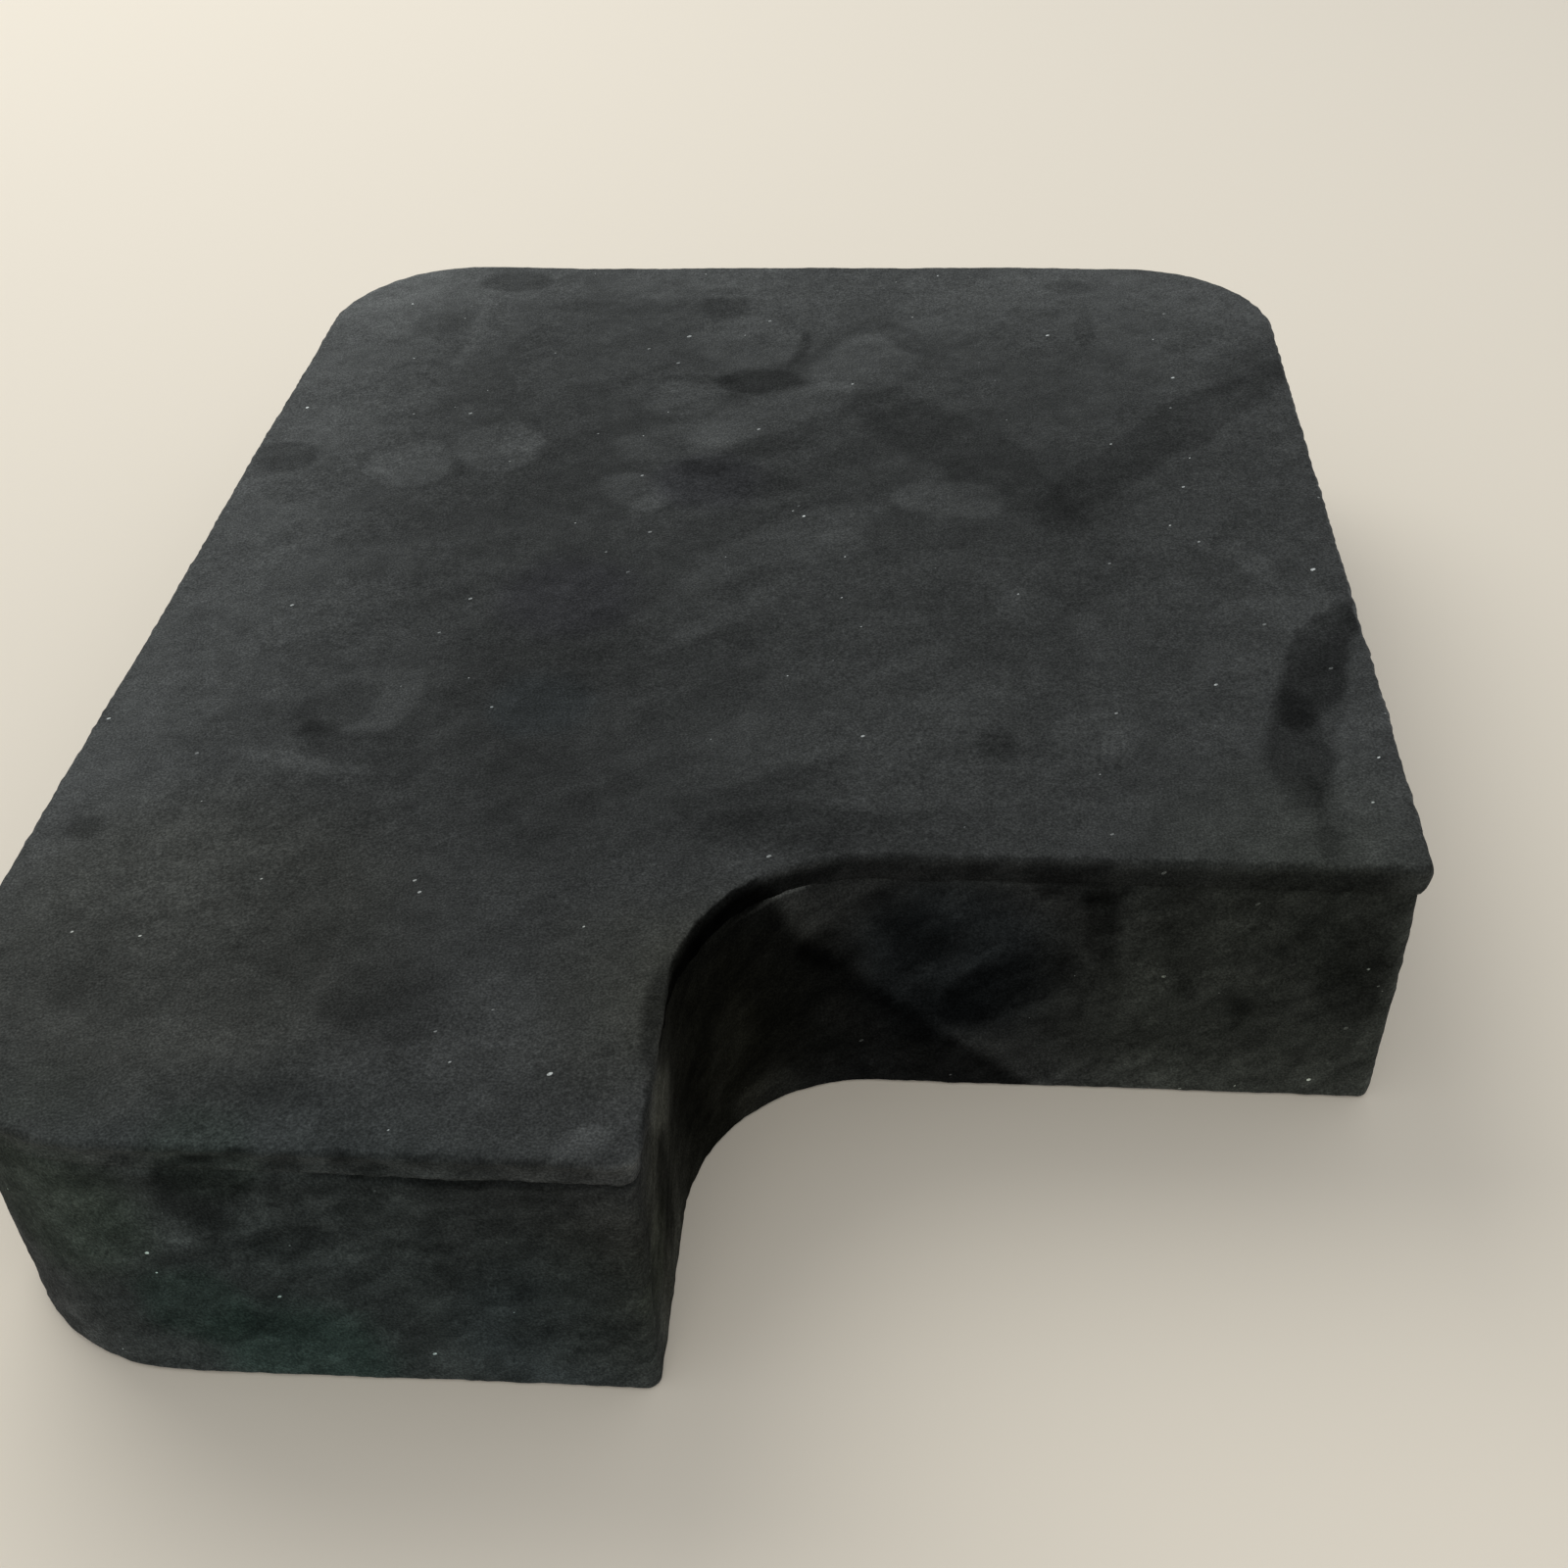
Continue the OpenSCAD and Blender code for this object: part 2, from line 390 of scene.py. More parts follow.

# Marks on the sides, in millimetres: x, y, z, half length, half height, tilt, shade, softness.
# Most are brushed into the pile; those marked below are painted highlight and painted shade.
SIDE_MARKS = [
    (32, -75, 30, 6, 6, 0, -0.55, 0.4),
    (26, -75, 38, 5, 4, -30, -0.7, 0.4),
    (38, -75, 28, 9, 2, 22, 0.6, 0.4),
    (45, -75, 24, 13, 6, 42, -1.0, 0.2),
    (35, -75, 27, 13, 12, 0, -0.45, 0.35),
    (36, -75, 18, 8, 4, -20, -0.7, 0.4),
    (59, -75, 36, 2.5, 8, 8, -0.9, 0.3),
    (56, -75, 44, 7, 2.5, 0, -0.8, 0.4),
    # Painted shade: widens the cove's dark at its edge.
    (17, -77, 31, 5, 4.5, -20, -1.2, 0.35),
    # Painted highlight: light caught on the hem's lower edge in the cove and along the notch.
    (10, -81, 44.8, 7, 0.7, 8, 1.6, 0.4),
    (38, -75, 45, 22, 0.6, 0, 0.5, 0.6),
    (70, -75, 37, 6, 7, 0, -0.3, 0.5),
    (66, -75, 20, 4, 10, 10, 0.15, 0.5),
    (73, -75, 24, 1.5, 3, 0, -0.6, 0.5),
    (82, -75, 20, 1.5, 3, 0, -0.6, 0.5),
    (78, -75, 34, 8, 5, 0, 0.15, 0.5),
    (89, -75, 35, 4, 5, 0, -0.4, 0.5),
    (98, -75, 28, 5, 10, 0, -0.75, 0.5),
    (92, -75, 12, 12, 4, 5, 0.2, 0.6),
    # Painted highlight on the notch end's rounded edge.
    (105, -74, 22, 3, 24, 0, 0.4, 0.5),
    (2, -88, 18, 5, 9, -20, 0.9, 0.6),
    (7, -82, 4, 6, 4, 0, 1.0, 0.5),
    (20, -76, 15, 7, 5, -25, 0.7, 0.5),
    (47, -75, 5, 6, 4, 0, -0.4, 0.5),
    (-4, -113, 38, 12, 5, -48, 0.9, 0.3),
    (-4, -133, 30, 2.5, 14, 0, -0.45, 0.5),
    (-4, -126, 22, 2.5, 24, 0, 0.4, 0.5),
    (-4, -116, 21, 4, 13, 8, -1.0, 0.4),
    (-4, -107, 9, 9, 8, 35, 0.5, 0.6),
    (-79, -134, 35, 11, 13, 0, 0.35, 0.4),
    (-62, -135, 41, 7, 7, 0, -0.6, 0.3),
    (-67, -135, 31, 3, 0.8, -8, 0.6, 0.5),
    (-52, -135, 31, 6, 3.5, 10, -0.6, 0.4),
    (-45, -135, 28, 5, 3.5, 30, 0.4, 0.5),
    (-38, -135, 29, 7, 1, 4, 0.35, 0.6),
    (-60, -135, 14, 8, 2, -10, -0.4, 0.5),
    (-54, -135, 6, 14, 5, 0, 0.1, 0.4),
    (-9, -135, 14, 3, 3, 0, -0.6, 0.5),
    (-25, -135, 18, 3, 1, -10, 0.5, 0.5),
    (-22, -135, 32, 18, 12, 0, -0.35, 0.6),
    # Painted shadow below the lip along the arm's front.
    (-45, -135, 43, 42, 1.8, 0, -0.45, 0.6),
    (-20, -136, 49, 14, 2, 0, -0.3, 0.5),
    (-48, -136, 49, 18, 2.5, 0, -0.4, 0.5),
    (-6, -135, 49, 3, 3, 0, 0.7, 0.4),
    (-88, -129, 12, 5, 6, 30, 0.3, 0.5),
    # Painted shadow darkening the crevice under the lip, which is also sunk in the mesh.
    (-25, -135, 45.2, 22, 0.9, 0, -1.1, 0.5),
    (-63, -135, 47.5, 6, 0.8, 4, -0.6, 0.5),
]


def painted(along, across, marks, blur):
    """Sum of soft-edged oval marks at points given in millimetres.

    blur is how much softer than stated their edges are at each point."""
    total = np.zeros(len(along))
    for at_x, at_y, length, width, heading, shade, softness in marks:
        turn = math.radians(heading)
        dx, dy = along - at_x, across - at_y
        a = (dx * math.cos(turn) + dy * math.sin(turn)) / length
        b = (dy * math.cos(turn) - dx * math.sin(turn)) / width
        soft = softness * blur
        total += shade * (1 - smoothstep(1 - soft, 1 + soft, np.hypot(a, b)))
    return total


def ragged(points, seed):
    """The points, pushed about so that what is drawn at them gets ragged edges."""
    push = [
        1.6 * MM * noise(points, 14 * MM, seed + axis)
        + 0.7 * MM * noise(points, 4 * MM, seed + 10 + axis)
        for axis in range(3)
    ]
    return points + np.column_stack(push)


def stretched(points, heading, factor):
    """Points turned in plan and squeezed along a heading, so that noise at them is drawn out."""
    turn = math.radians(heading)
    along = points[:, 0] * math.cos(turn) + points[:, 1] * math.sin(turn)
    across = points[:, 1] * math.cos(turn) - points[:, 0] * math.sin(turn)
    return np.column_stack([along / factor, across, points[:, 2]])


def top_nap_and_light(points):
    """Shade of the pile on the flat top, in stops, with painted light that brightens it towards
    the rear, the left and the right.
    """
    moved = ragged(points, 11)
    blur = 0.8 + 0.6 * np.clip(noise(points, 13 * MM, 15), -1, 1)
    marks = painted(moved[:, 0] / MM, moved[:, 1] / MM, TOP_MARKS, blur)
    marks *= 1 + 0.25 * noise(stretched(points, 36, 2.0), 5 * MM, 16)
    broad = rough_noise(moved, 60 * MM, 21) * 0.14
    sweeps = np.tanh(4 * noise(stretched(moved, 42, 2.5), 7 * MM, 31)) * 0.11
    x, y = points[:, 0] / MM, points[:, 1] / MM
    # Painted light: the top is made lighter towards its rear edge, its left edge and its right
    # part.
    painted_light_rear = 0.35 * smoothstep(30, 110, y) + 0.42 * smoothstep(92, 128, y)
    painted_light_left = (0.85 - 0.35 * smoothstep(-60, -110, y)) * smoothstep(-50, -104, x)
    painted_light_right = 0.15 * smoothstep(40, 80, x) * smoothstep(-60, -20, y)
    return marks + broad + sweeps + painted_light_rear + painted_light_left + painted_light_right


def notch_painted_shade(s, z):
    """Painted shade inside the notch: darkest in the cove, with a slanting far edge, and lighter
    again near the floor with painted bounce light.

    drop is 0 just under the lip and 1 near the floor, and foot is where the dark ends."""
    arm_side = between(s, s_at(ARM_X, FRONT + 4 * MM), COVE_START, 4 * MM)
    drop = (44 * MM - z) / (42 * MM)
    foot = COVE_STOP + (20 * drop + 20 * drop**2 - 16.5) * MM
    deep = smoothstep(-12 * MM, 10 * MM, s - COVE_START)
    deep *= 1 - smoothstep(-2.2 * MM, 2.2 * MM, s - foot)
    rear = smoothstep(-20 * MM, 0, s - COVE_STOP) * (1 - deep)
    rear *= 1 - smoothstep(0, 3 * MM, s - NOTCH_END)
    near = 1 - smoothstep(34 * MM, 40 * MM, s - COVE_STOP)
    # Painted bounce light from the floor, low on the notch's shaded walls.
    notch_bounce_light = 0.4 * smoothstep(16 * MM, 2 * MM, z) * np.maximum(deep, rear)
    # Painted shade: darker on the arm's side, deepest in the cove and darker on the notch's rear
    # wall.
    return notch_bounce_light - 0.6 * arm_side * (1 - deep) - 2.7 * deep - (0.4 + 0.3 * near) * rear


def border_shade(points, s):
    """The border's shade: its pile darker along the notch and patchy on the arm, with painted
    shade in the cove and painted light on the left, rear and right sides.
    """
    patches = 1 + 0.3 * ring_noise(s, 9 * MM, 76) + 0.2 * ring_noise(s, 3 * MM, 77)
    along = between(s, COVE_START - 8 * MM, s_at(97 * MM, NOTCH_Y), 5 * MM)
    cove = between(s, COVE_START - 2 * MM, COVE_STOP - 12 * MM, 7 * MM)
    middle = between(s, COVE_STOP + 24 * MM, COVE_STOP + 34 * MM, 3 * MM)
    height = points[:, 2] + 0.5 * MM * ring_noise(s, 4 * MM, 78)
    lower = smoothstep(TOP_Z - 0.4 * MM, TOP_Z - 2.4 * MM, height)
    # The cove's part is painted shade; along the notch's rear face the pile itself is darker.
    notch = -(0.85 * along + 1.3 * cove + 0.35 * middle) * patches * lower
    front_and_notch = between(s, s_at(LEFT, FRONT + CORNER_R), s_at(RIGHT, NOTCH_Y + 4 * MM), 10 * MM)
    arm = between(s, s_at(-72 * MM, FRONT), ARM_CORNER, 4 * MM)
    # Painted light: the border is lighter on the left, rear and right sides.
    return notch + 0.7 * (1 - front_and_notch) + 0.4 * arm * np.tanh(3 * noise(points, 3.5 * MM, 79))


def side_nap_and_light(points, s):
    """Shade of the pile on the sides, in stops, with painted shade in the notch and painted
    bounce light from the floor along the bottom.
    """
    marks = [(s_at(x * MM, y * MM) / MM, z, *rest) for x, y, z, *rest in SIDE_MARKS]
    wobble = noise(points, 12 * MM, 41) * 1.3
    drift = noise(points, 4 * MM, 42) * 0.9
    along, height = s / MM + wobble + drift, points[:, 2] / MM + 0.5 * (wobble - drift)
    blur = 0.85 + 0.65 * np.clip(noise(points, 9 * MM, 45), -1, 1)
    brushed = np.column_stack([along / 2, height - along / 2, 0 * s]) * MM
    patches = np.tanh(3 * noise(brushed, 3.2 * MM, 51)) * 0.24
    patches += np.tanh(3 * noise(points, 8 * MM, 52)) * 0.12
    shade = painted(along, height, marks, blur) + notch_painted_shade(along * MM, height * MM)
    # Painted bounce light from the floor: the sides are lighter near their foot.
    painted_bounce_light = 0.55 * smoothstep(15 * MM, 1 * MM, points[:, 2])
    return shade + patches + painted_bounce_light + 0.15 * noise(points, 30 * MM, 43)


# Colours that the cloth leans to: x, y, z and radius in millimetres, then red, green and blue
CASTS = [
    (-50, -172, 15, 60, (0.85, 1.0, 1.01)),
    (-54, -136, 5, 15, (0.78, 1.04, 0.94)),
    (-68, -135, 17, 9, (0.82, 1.03, 0.94)),
    (-86, -130, 35, 18, (0.9, 1.03, 0.88)),
    (-60, -136, 48, 9, (0.94, 1.02, 0.95)),
    (-14, -138, 14, 20, (0.92, 0.99, 1.04)),
    (-3, -126, 20, 9, (0.98, 1.02, 0.92)),
    (0, -105, 20, 36, (1.04, 1.0, 0.76)),
    (36, -75, 28, 18, (0.9, 0.99, 1.08)),
    (90, -80, 20, 42, (0.97, 1.0, 0.9)),
    (-33, -8, 51, 15, (1.0, 0.97, 1.05)),
    (-32, -40, 51, 10, (0.94, 1.0, 1.04)),
    (-12, 34, 51, 12, (1.0, 0.98, 1.05)),
    (-75, -98, 51, 38, (1.02, 1.01, 0.95)),
]

# Places where more lint has caught: x, y, z and radius in millimetres
LINTY = [
    (92, 8, 51, 12),
    (98, -14, 51, 9),
    (50, -76, 50, 9),
    (-32, 100, 51, 20),
    (-98, -92, 51, 12),
]


def cast_at(points):
    """Colour cast of the cloth at each point, with how much more lint it has as its alpha."""
    moved = ragged(points, 101) / MM
    cast = np.ones((len(points), 4))
    cast[:, 3] = 0
    for x, y, z, radius in LINTY:
        apart = np.linalg.norm(points / MM - (x, y, z), axis=1) / radius
        cast[:, 3] += 1 - smoothstep(0.5, 1.0, apart)
    for x, y, z, radius, colour in CASTS:
        apart = np.linalg.norm(moved - (x, y, z), axis=1) / radius
        share = 1 - smoothstep(0.55, 1.15, apart)
        cast[:, :3] *= 1 + share[:, None] * (np.array(colour) - 1)
    return cast


# ---------------------------------------------------------------- materials
# Cells of the pattern that lint is strewn by, and how much lighter than cloth lint can be
LINT_CELL = 3.3 * MM
LINT_LIGHT = 14.0
BUMP_DEPTH = 0.2 * MM
FOAM_CELL = 0.9 * MM


def principled(name, **sockets):
    """A new material, its tree and its shader; a socket's name has _ for each space."""
    material = bpy.data.materials.new(name)
    material.use_nodes = True
    shader = material.node_tree.nodes["Principled BSDF"]
    for socket, value in sockets.items():
        shader.inputs[socket.replace("_", " ")].default_value = value
    return material, material.node_tree, shader


def join(tree, source, target):
    """Links an output socket to an input socket."""
    tree.links.new(source, target)


def math_node(tree, operation, first, second, third=None):
    """Output of a math node whose inputs are numbers or sockets."""
    node = tree.nodes.new("ShaderNodeMath")
    node.operation = operation
    for socket, value in zip(node.inputs, (first, second, third)):
        if isinstance(value, (int, float)):
            socket.default_value = value
        elif value is not None:
            join(tree, value, socket)
    return node.outputs[0]


def noise_node(tree, vector, size, detail):
    """Output of a noise texture whose features are about size across."""
    node = tree.nodes.new("ShaderNodeTexNoise")
    node.inputs["Scale"].default_value = 1 / size
    node.inputs["Detail"].default_value = detail
    join(tree, vector, node.inputs["Vector"])
    return node.outputs["Fac"]


def attribute_node(tree, name):
    """Node that reads one of the values that make_piece stores at each vertex."""
    node = tree.nodes.new("ShaderNodeAttribute")
    node.attribute_name = name
    return node


def mix_colours(tree, factor, first, second):
    """Output of a node that mixes two fixed colours."""
    node = tree.nodes.new("ShaderNodeMix")
    node.data_type = "RGBA"
    join(tree, factor, node.inputs["Factor"])
    colours = [socket for socket in node.inputs if socket.type == "RGBA"]
    for socket, colour in zip(colours, (first, second)):
        socket.default_value = (*colour, 1)
    return next(socket for socket in node.outputs if socket.type == "RGBA")


def tinted(tree, colour, tone, shade):
    """A colour socket times a fixed tone and times a shade socket."""
    toned = tree.nodes.new("ShaderNodeVectorMath")
    toned.operation = "MULTIPLY"
    join(tree, colour, toned.inputs[0])
    toned.inputs[1].default_value = tone
    shaded = tree.nodes.new("ShaderNodeVectorMath")
    shaded.operation = "SCALE"
    join(tree, toned.outputs["Vector"], shaded.inputs[0])
    join(tree, shade, shaded.inputs["Scale"])
    return shaded.outputs["Vector"]


def add_bump(tree, shader, height, strength):
    """Bump from a height socket, for detail too fine for the mesh."""
    bump = tree.nodes.new("ShaderNodeBump")
    bump.inputs["Strength"].default_value = strength
    bump.inputs["Distance"].default_value = BUMP_DEPTH
    join(tree, height, bump.inputs["Height"])
    join(tree, bump.outputs["Normal"], shader.inputs["Normal"])


def lint_gain(tree, place, extra):
    """How many times lighter the cloth is: 1, and more where a speck of lint has caught.

    Each cell of the pattern may hold one speck. The cell's random red decides the speck's size
    and its random green how bright it is. extra is a socket that makes specks commoner."""
    cells = tree.nodes.new("ShaderNodeTexVoronoi")
    cells.inputs["Scale"].default_value = 1 / LINT_CELL
    join(tree, place, cells.inputs["Vector"])
    chance = tree.nodes.new("ShaderNodeSeparateColor")
    join(tree, cells.outputs["Color"], chance.inputs["Color"])
    least = math_node(tree, "MULTIPLY_ADD", extra, 0.035, -0.078)
    reach = math_node(tree, "MULTIPLY_ADD", chance.outputs["Red"], 0.16, least)
    speck = math_node(tree, "LESS_THAN", cells.outputs["Distance"], reach)
    light = math_node(tree, "MULTIPLY", speck, chance.outputs["Green"])
    return math_node(tree, "MULTIPLY_ADD", light, LINT_LIGHT, 1.0)


def velvet(name, tone, tufty):
    """Short-pile velvet: brushed patches, painted light and painted shade from the mesh, fine
    grain, lint and a slight sheen.

    tufty is how strongly the pile stands in small tufts."""
    material, tree, shader = principled(
        name,
        Roughness=0.95,
        Specular_IOR_Level=0.0,
        Sheen_Roughness=0.5,
    )
    place = tree.nodes.new("ShaderNodeTexCoord").outputs["Object"]
    turned = tree.nodes.new("ShaderNodeMapping")
    turned.vector_type = "TEXTURE"
    turned.inputs["Rotation"].default_value = (0, math.radians(-28), math.radians(35))
    turned.inputs["Scale"].default_value = (2.5, 1, 1)
    join(tree, place, turned.inputs["Vector"])
    brushed = turned.outputs["Vector"]
    nap_and_light = attribute_node(tree, "nap_and_light")
    cast = attribute_node(tree, "cast")

    fibres = noise_node(tree, place, 0.35 * MM, 1)
    grain = noise_node(tree, brushed, 0.8 * MM, 2)
    mottle = noise_node(tree, place, 4 * MM, 4)
    pile_tufts = noise_node(tree, brushed, 1.8 * MM, 3)
    # The mesh's values hold the pile's patches together with painted light and painted shade.
    stops = nap_and_light.outputs["Fac"]
    for source, amount in ((fibres, 2.7), (grain, 0.9), (mottle, 0.9), (pile_tufts, tufty)):
        centred = math_node(tree, "SUBTRACT", source, 0.5)
        stops = math_node(tree, "MULTIPLY_ADD", centred, amount, stops)
    shade = math_node(tree, "POWER", 2.0, stops)
    join(tree, math_node(tree, "MULTIPLY", shade, 0.03), shader.inputs["Sheen Weight"])
    gain = lint_gain(tree, brushed, cast.outputs["Alpha"])
    shade = math_node(tree, "MULTIPLY", shade, gain)
    colour = tinted(tree, cast.outputs["Color"], tone, shade)
    join(tree, colour, shader.inputs["Base Color"])
    add_bump(tree, shader, math_node(tree, "ADD", fibres, mottle), 0.4)
    return material


def cellular_foam(name):
    """Charcoal closed-cell foam with a fine pattern of cells on its cut faces."""
    material, tree, shader = principled(name, Roughness=0.85, Specular_IOR_Level=0.2)
    place = tree.nodes.new("ShaderNodeTexCoord").outputs["Object"]
    cells = tree.nodes.new("ShaderNodeTexVoronoi")
    cells.feature = "DISTANCE_TO_EDGE"
    cells.inputs["Scale"].default_value = 1 / FOAM_CELL
    join(tree, place, cells.inputs["Vector"])
    wall = math_node(tree, "MULTIPLY", cells.outputs["Distance"], 2.5)
    colour = mix_colours(tree, wall, (0.035, 0.035, 0.038), (0.08, 0.08, 0.085))
    join(tree, colour, shader.inputs["Base Color"])
    add_bump(tree, shader, cells.outputs["Distance"], 1.0)
    return material


def pale_surface(name):
    """Plain, pale and slightly warm, for the floor."""
    material, _, _ = principled(name, Base_Color=(0.70, 0.65, 0.55, 1), Roughness=0.9)
    return material


# ---------------------------------------------------------------- unevenness of the cloth
# Places where the block swells: x, y, z, radius and height of the swelling in millimetres
SWELLINGS = [
    (-95, 118, 51, 60, 0.8),
    (-106, 50, 51, 80, 0.7),
    (20, 136, 51, 90, 0.3),
    (-62, -135, 8, 32, 0.6),
    (98, -70, 28, 26, 0.4),
]


def waviness(points):
    """Swelling of the foam under the cloth, along the outward direction."""
    total = 0.2 * MM * noise(points, 45 * MM, 61) + 0.07 * MM * noise(points, 9 * MM, 62)
    for x, y, z, radius, height in SWELLINGS:
        apart = np.linalg.norm(points / MM - (x, y, z), axis=1) / radius
        total += height * MM * (1 - smoothstep(0.1, 1.0, apart))
    return total


def tufts(points):
    """Small tufts of pile that make the cloth's edges ragged."""
    return 0.3 * MM * noise(points, 1.8 * MM, 63) + 0.1 * MM


def pressed_flat(s):
    """How nearly flush the lip is pressed: most on the arm's front, a little on its side."""
    front = between(s, LEFT_FRONT, s_at(-45 * MM, FRONT), 20 * MM)
    corner = between(s, s_at(-45 * MM, FRONT), COVE_START, 12 * MM)
    return np.maximum(0.9 * front, 0.65 * corner)


def hem_rise(s):
    """How far the hem of the top cloth wanders up and down."""
    return 0.35 * MM * ring_noise(s, 16 * MM, 73) + 0.16 * MM * ring_noise(s, 3 * MM, 74)


def shape_cover(points, out, s, rim, skin):
    """The top cloth as glued: wavy hem, lip of uneven thickness, a fold over the notch's
    sharp corner and small gathers round the three rounded corners."""
    flat = pressed_flat(s)
    loose = 0.2 * MM * ring_noise(s, 13 * MM, 71) + 0.1 * MM * ring_noise(s, 4 * MM, 72)
    height = np.clip((TOP_Z - points[:, 2]) / (TOP_Z - HEM_Z), 0, 1)
    puff = 0.1 * MM * np.sin(math.pi * height)
    border = (loose + puff) * (1 - 0.9 * flat) - CLOTH * flat * skin * smoothstep(0, 0.6, height)
    border += (tufts(points) + 0.22 * MM * flat * noise(points, 4 * MM, 78)) * skin
    border += 0.35 * MM * np.exp(-(((s - NOTCH_END) / (2.5 * MM)) ** 2))
    gathers = 0.12 * MM * np.sin(2 * math.pi * s / (6.5 * MM) + 3 * loose / MM)
    for middle in (LEFT_REAR, LEFT_FRONT, RIGHT_REAR):
        border += smoothstep(26 * MM, 14 * MM, np.abs(s - middle)) * gathers
    points = points + out * (waviness(points) + border * rim)[:, None]
    down = smoothstep(TOP_Z - 0.5 * MM, HEM_Z + 1 * MM, points[:, 2]) * rim
    points[:, 2] += hem_rise(s) * down
    return points


def shape_band(points, out, s, rim, skin):
    """The side strip: swells gently, sinks under the hem and puckers a little at its ends."""
    shift = waviness(points) + 0.12 * MM * noise(points, 6 * MM, 81) + 0.6 * tufts(points)
    below = (points[:, 2] - HEM_Z - hem_rise(s)) / MM + 0.45
    corner = between(s, s_at(-42 * MM, FRONT), s_at(ARM_X, FRONT + 9 * MM), 3 * MM)
    depth = 0.2 + 0.5 * corner + 0.25 * ring_noise(s, 9 * MM, 82)
    shift -= depth * MM * np.exp(-((below / 0.8) ** 2))
    ends = np.minimum(s, s.max() - s)
    shift += 0.25 * MM * np.exp(-((ends / (1.5 * MM)) ** 2))
    return points + out * (shift * rim * skin)[:, None]


# ---------------------------------------------------------------- pieces
# Spacing of vertices on the cloth that shows, and on what is glued down
DETAIL = 1.15 * MM
COARSE = 8 * MM


def heights(low, high, spacing):
    """Evenly spaced heights strictly between low and high."""
    count = max(2, round(abs(high - low) / spacing))
    return [low + (high - low) * i / count for i in range(1, count)]


def bend(centre, radius, start, stop, steps, skin=1):
    """Rows of the cloth's bend over the foam's top edge, about centre (depth, z)."""
    rows = []
    for i in range(steps + 1):
        t = start + (stop - start) * i / steps
        angle = t * math.pi / 2
        depth, rise = centre[0] - radius * math.cos(angle), radius * math.sin(angle)
        rows.append((depth, centre[1] + rise, t, skin))
    return rows


def build_top_cover(material):
    """The cloth of the top, with its border turned down over the side strip.

    Its section starts at the glued face of the top, goes down inside the border, round the
    hem's raw edge and up outside, and ends at the face of the top that shows."""
    base, inward = outline(0, DETAIL)
    s = distance_round(base)
    lip = 0.2 * MM
    section = bend((CLOTH, WRAP_Z), CLOTH, 1, 0, 4, skin=0)
    section += [(0, z, 0, 0) for z in heights(WRAP_Z, HEM_Z, DETAIL)]
    section += [(0, HEM_Z + lip, 0, 0), (-lip, HEM_Z, 0, 0), (lip - CLOTH, HEM_Z, 0, 1)]
    section += [(-CLOTH, HEM_Z + lip, 0, 1)]
    edge_z = TOP_Z - EDGE_R
    section += [(-CLOTH, z, 0, 1) for z in heights(HEM_Z, edge_z, 0.7 * DETAIL)]
    section += bend((EDGE_R - CLOTH, edge_z), EDGE_R, 0, 1, 6)
    section += [(CLOTH, TOP_Z, 1, 1)]
    shell = Shell()
    rows = shell.sweep(section, base, inward, s, closed=True)
    shell.fill(rows[-1], DETAIL, TOP_Z, up=True)
    shell.fill(rows[0], COARSE, TOP_Z - CLOTH, up=False, skin=0)
    points, out, s, rim, skin = shell.arrays()
    out[:, 2] = np.abs(out[:, 2])
    side = smoothstep(0.2, 0.5, rim + 0.3 * noise(points, 2.5 * MM, 75) * (rim > 0))
    # The values carry painted light on the top and on the border's sides, and painted shade in
    # the notch.
    nap_and_light = top_nap_and_light(points) * (1 - side)
    nap_and_light += (side_nap_and_light(points, s) + border_shade(points, s)) * side
    points = shape_cover(points, out, s, rim, skin)
    return make_piece("velvet_top_cover", points, shell.faces, material, nap_and_light)


def build_side_band(material):
    """The strip round the sides, with its margin turned under the foam.

    Its section starts under the foam's edge, goes up outside and over the top edge, and comes
    down on the glued face. The margin is added below, and its two ends meet in the rear."""
    base, inward = outline(0, DETAIL, SEAM_GAP)
    s = distance_round(base)
    section = []
    for i in range(5):
        angle = i * math.pi / 8
        depth, z = CLOTH * (1 - math.sin(angle)), CLOTH * (1 - math.cos(angle))
        section.append((depth, z, i / 4 - 1, 1))
    near_hem = HEM_Z - 2.5 * MM
    section += [(0, z, 0, 1) for z in heights(CLOTH, near_hem, DETAIL)]
    section += [(0, z, 0, 1) for z in np.arange(near_hem, WRAP_Z - 0.2 * MM, 0.4 * DETAIL)]
    section += bend((CLOTH, WRAP_Z), CLOTH, 0, 1, 4)
    section += [(CLOTH, z, 0, 0) for z in heights(WRAP_Z + CLOTH, CLOTH, COARSE)]
    section += [(CLOTH, CLOTH, 0, 0)]
    shell = Shell()
    rows = shell.sweep(section, base, inward, s, closed=False)
    inner, _ = outline(MARGIN_INSET, 4 * MM, SEAM_GAP)
    level = np.zeros(len(inner))
    down = np.tile([0, 0, -1.0], (len(inner), 1))
    low = shell.add(np.column_stack([inner, level]), down, 0, 0, 1)
    high = shell.add(np.column_stack([inner, level + CLOTH]), down, 0, 0, 0)
    for i in range(len(inner) - 1):
        shell.faces.append([int(v) for v in (high[i], high[i + 1], low[i + 1], low[i])])
    shell.fill([*rows[0], *low[::-1]], 3 * MM, 0, up=False)
    shell.fill([*rows[-1], *high[::-1]], 6 * MM, CLOTH, up=True, skin=0)
    first = [row[0] for row in rows] + [high[0], low[0]]
    last = [row[-1] for row in rows] + [high[-1], low[-1]]
    shell.faces.append([int(v) for v in first])
    shell.faces.append([int(v) for v in last[::-1]])
    points, out, s, rim, skin = shell.arrays()
    # The values carry painted shade in the notch and painted bounce light low down.
    nap_and_light = side_nap_and_light(points, s)
    points = shape_band(points, out, s, rim, skin)
    return make_piece("velvet_side_strip", points, shell.faces, material, nap_and_light)


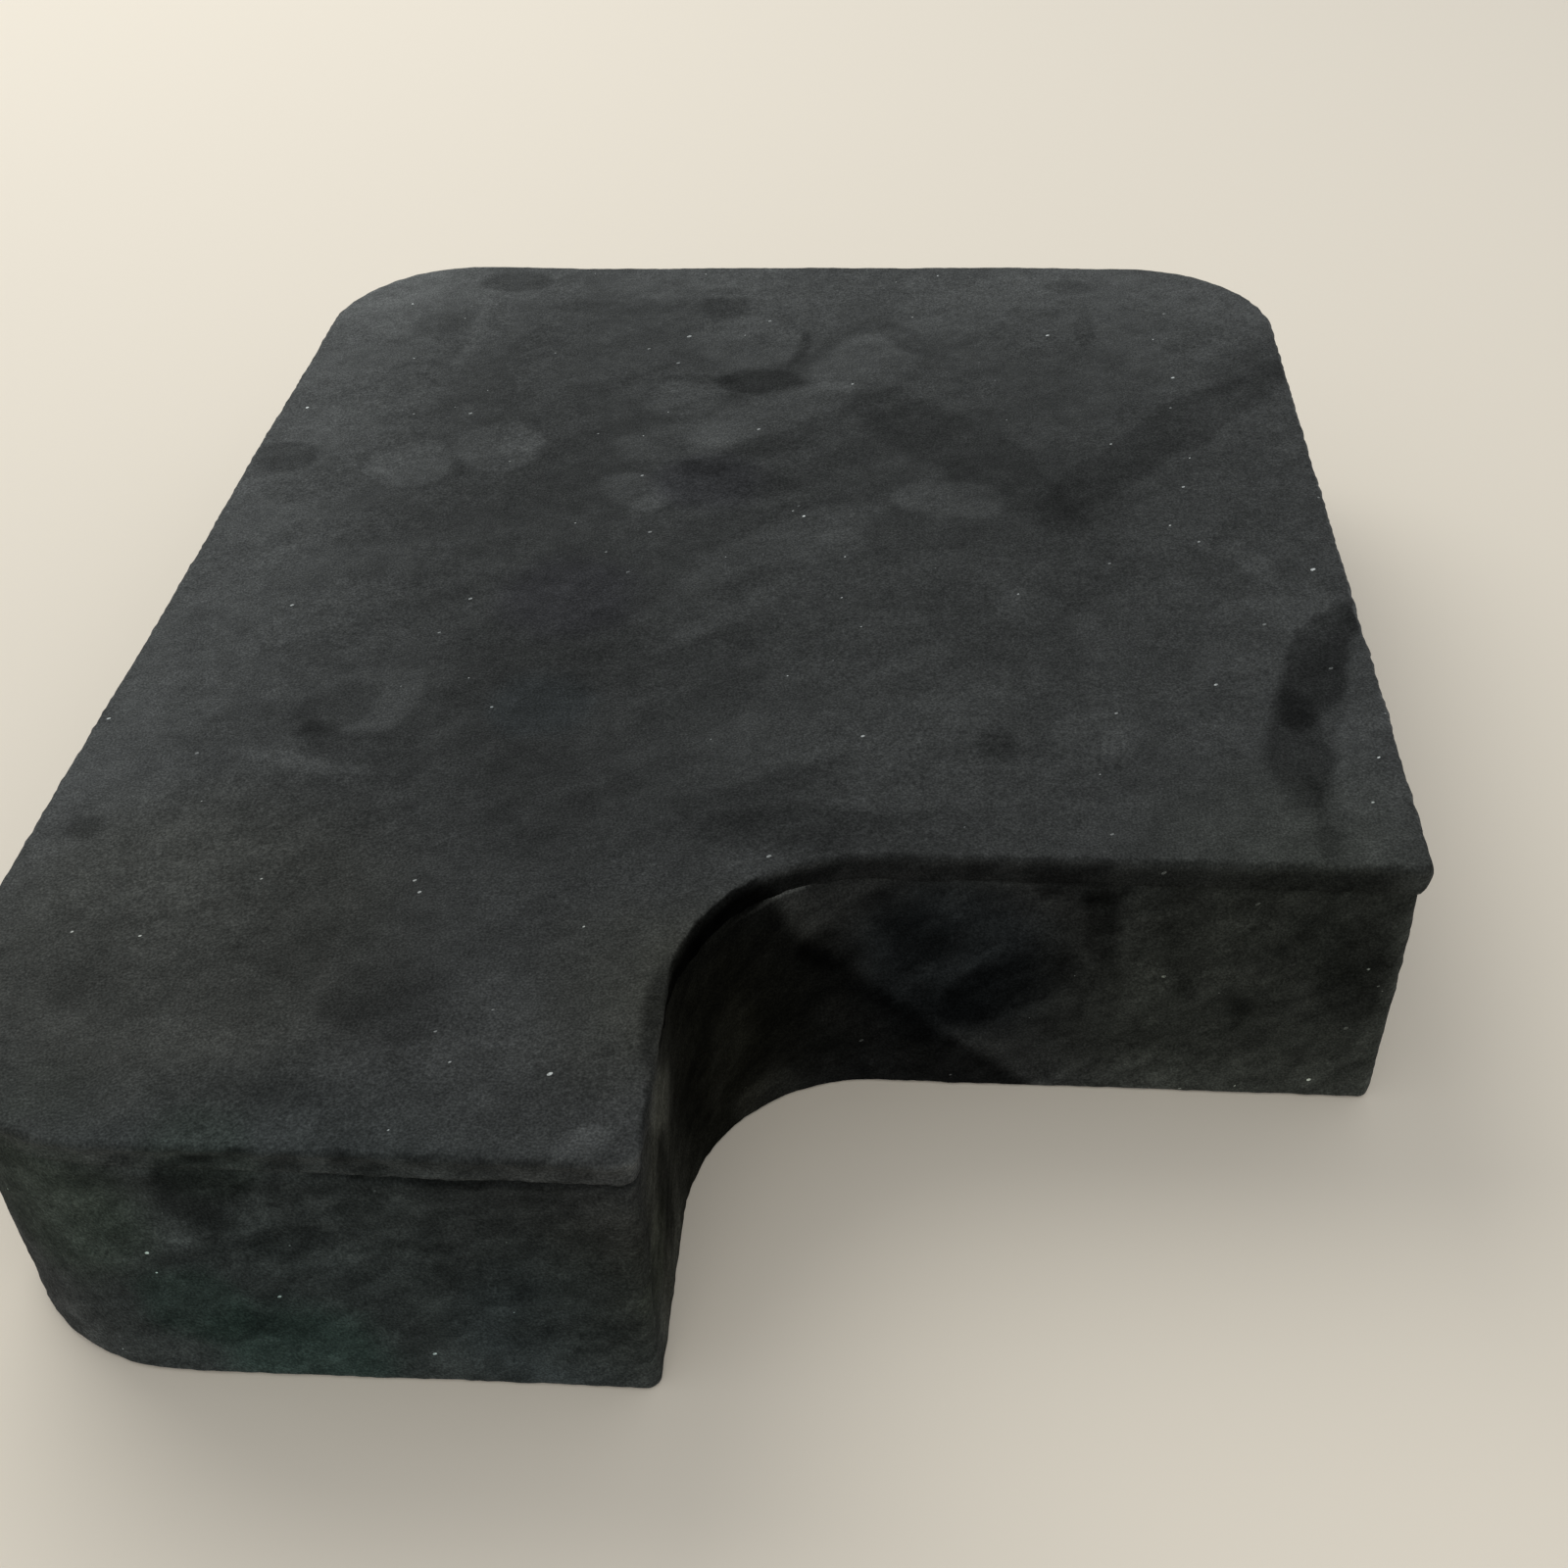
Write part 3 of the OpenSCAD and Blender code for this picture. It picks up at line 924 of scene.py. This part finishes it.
def slab(name, inset, low, high, bevel, spacing, material):
    """A flat slab of the block's plan with softened edges."""
    base, inward = outline(inset, spacing)
    s = distance_round(base)
    section = [(bevel, low, -1, 1), (0, low + bevel, 0, 1)]
    section += [(0, z, 0, 1) for z in heights(low + bevel, high - bevel, spacing)]
    section += [(0, high - bevel, 0, 1), (bevel, high, 1, 1)]
    shell = Shell()
    rows = shell.sweep(section, base, inward, s, closed=True)
    shell.fill(rows[0], spacing, low, up=False)
    shell.fill(rows[-1], spacing, high, up=True)
    points = shell.arrays()[0]
    nap_and_light = rough_noise(points, 25 * MM, 95) * 0.4
    return make_piece(name, points, shell.faces, material, nap_and_light)


# The side velvet is a little darker than the top's: partly the pile's lie, partly painted shade
# for the sides' weaker light.
top_velvet = velvet("velvet_top", (0.0305, 0.0326, 0.0318), 0.4)
side_velvet = velvet("velvet_side", (0.027, 0.029, 0.028), 1.3)
foam = cellular_foam("cellular_foam")

cover = build_top_cover(top_velvet)
strip = build_side_band(side_velvet)
base = slab("velvet_base", BASE_INSET, base_low.z, base_high.z, 0.3 * MM, 4 * MM, side_velvet)
block = slab("foam_block", CLOTH, core_low.z, core_high.z, 0.4 * MM, 6 * MM, foam)

for piece, node, slot in (
    (cover, "top_cover", "velvet_top"),
    (strip, "side_band", "velvet_side"),
    (base, "base_sheet", "velvet_base"),
    (block, "foam_core", "foam"),
):
    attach(piece, "root")
    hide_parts(node)

strip_line, _ = outline(0, 1 * MM, SEAM_GAP)

# ---------------------------------------------------------------- floor, light and camera
floor_mesh = bpy.data.meshes.new("floor")
half = 12.0
floor_corners = [(-half, -half, 0), (half, -half, 0), (half, half, 0), (-half, half, 0)]
floor_mesh.from_pydata(floor_corners, [], [(0, 1, 2, 3)])
floor = bpy.data.objects.new("floor", floor_mesh)
bpy.context.scene.collection.objects.link(floor)
floor_mesh.materials.append(pale_surface("pale_floor"))


def soft_light(name, place, size, power, colour):
    """A round lamp that shines on the block."""
    lamp = bpy.data.lights.new(name, "AREA")
    lamp.shape = "DISK"
    lamp.size = size
    lamp.energy = power
    lamp.color = colour
    holder = bpy.data.objects.new(name, lamp)
    holder.location = place
    holder.rotation_euler = (-Vector(place)).to_track_quat("-Z", "Y").to_euler()
    bpy.context.scene.collection.objects.link(holder)


soft_light("window", (-0.6, 0.7, 1.0), size=1.1, power=9.0, colour=(1.0, 0.985, 0.955))
soft_light("room", (0.4, -1.3, 1.6), size=2.0, power=11.0, colour=(1.0, 0.94, 0.86))

world = bpy.data.worlds.new("room_light")
world.use_nodes = True
background = world.node_tree.nodes["Background"]
background.inputs["Color"].default_value = (0.93, 0.95, 1.0, 1)
background.inputs["Strength"].default_value = 0.62
bpy.context.scene.world = world
bpy.context.scene.view_settings.view_transform = "Standard"

# The camera is in front of the notch, close to the block, and looks down across it
lens = bpy.data.cameras.new("camera")
lens.sensor_width = 36
lens.lens = 42.2
lens.clip_start = 0.01
camera = bpy.data.objects.new("camera", lens)
camera.location = (0.0316, -0.2820, 0.2314)
camera.rotation_euler = (0.8908, 0.0306, 0.0737)
bpy.context.scene.collection.objects.link(camera)
bpy.context.scene.camera = camera
